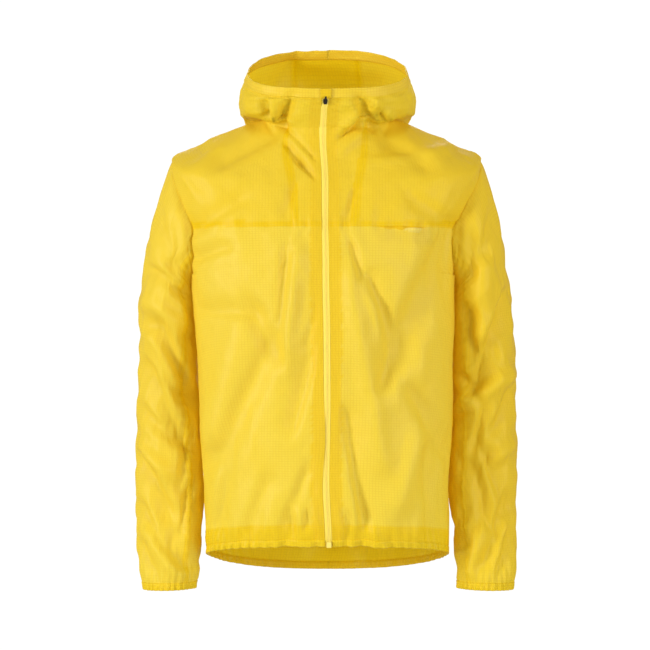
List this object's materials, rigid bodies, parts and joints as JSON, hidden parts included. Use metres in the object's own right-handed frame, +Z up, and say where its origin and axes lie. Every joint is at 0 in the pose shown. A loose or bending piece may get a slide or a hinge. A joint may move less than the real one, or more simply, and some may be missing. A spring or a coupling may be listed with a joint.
{
  "type": "hooded windbreaker jacket",
  "caption": "Hooded full-zip windbreaker in thin ripstop cloth, filled out as worn, with a slumped hood, long sleeves, a chest pocket, a dropped back hem and elastic-bound cuffs and hem.",
  "frame": {"origin": "middle of the neck base, where the jacket rests on the wearer's shoulders", "axes": "+Z up, -Y the jacket's front, +X the wearer's left"},
  "size_m": [0.592, 0.3349, 0.8502],
  "materials": {
    "shell_cloth": "thin translucent yellow ripstop with a soft sheen",
    "facing_cloth": "the same cloth doubled, so deeper in colour",
    "elastic_binding": "finely gathered matt stretch binding",
    "zip_tape": "pale yellow woven tape and coil",
    "zip_plastic": "pale yellow moulded plastic",
    "slider": "black painted metal"
  },
  "bodies": {
    "jacket": {"front_left": "shell_cloth", "yoke_left": "shell_cloth", "hood_side_left": "shell_cloth", "sleeve_left": "shell_cloth", "cuff_left": "elastic_binding", "zip_facing_left": "facing_cloth", "zip_tape_left": "zip_tape", "front_right": "shell_cloth", "yoke_right": "shell_cloth", "hood_side_right": "shell_cloth", "sleeve_right": "shell_cloth", "cuff_right": "elastic_binding", "zip_facing_right": "facing_cloth", "zip_tape_right": "zip_tape", "back": "shell_cloth", "hood_centre": "shell_cloth", "hood_hem": "facing_cloth", "hem_band": "elastic_binding", "zip_garage": "facing_cloth", "pocket_facing": "facing_cloth", "zip_slider": "slider", "zip_box": "zip_plastic"},
    "pull_tab": {"zip_pull_tab": "slider"}
  },
  "joints": [
    {"name": "pull_tab_hinge", "type": "hinge", "parent": "jacket", "child": "pull_tab", "pos_m": [-0.00258, -0.09976, 0.02242], "axis": [1, 0, 0], "range_deg": [0, 165]}
  ]
}
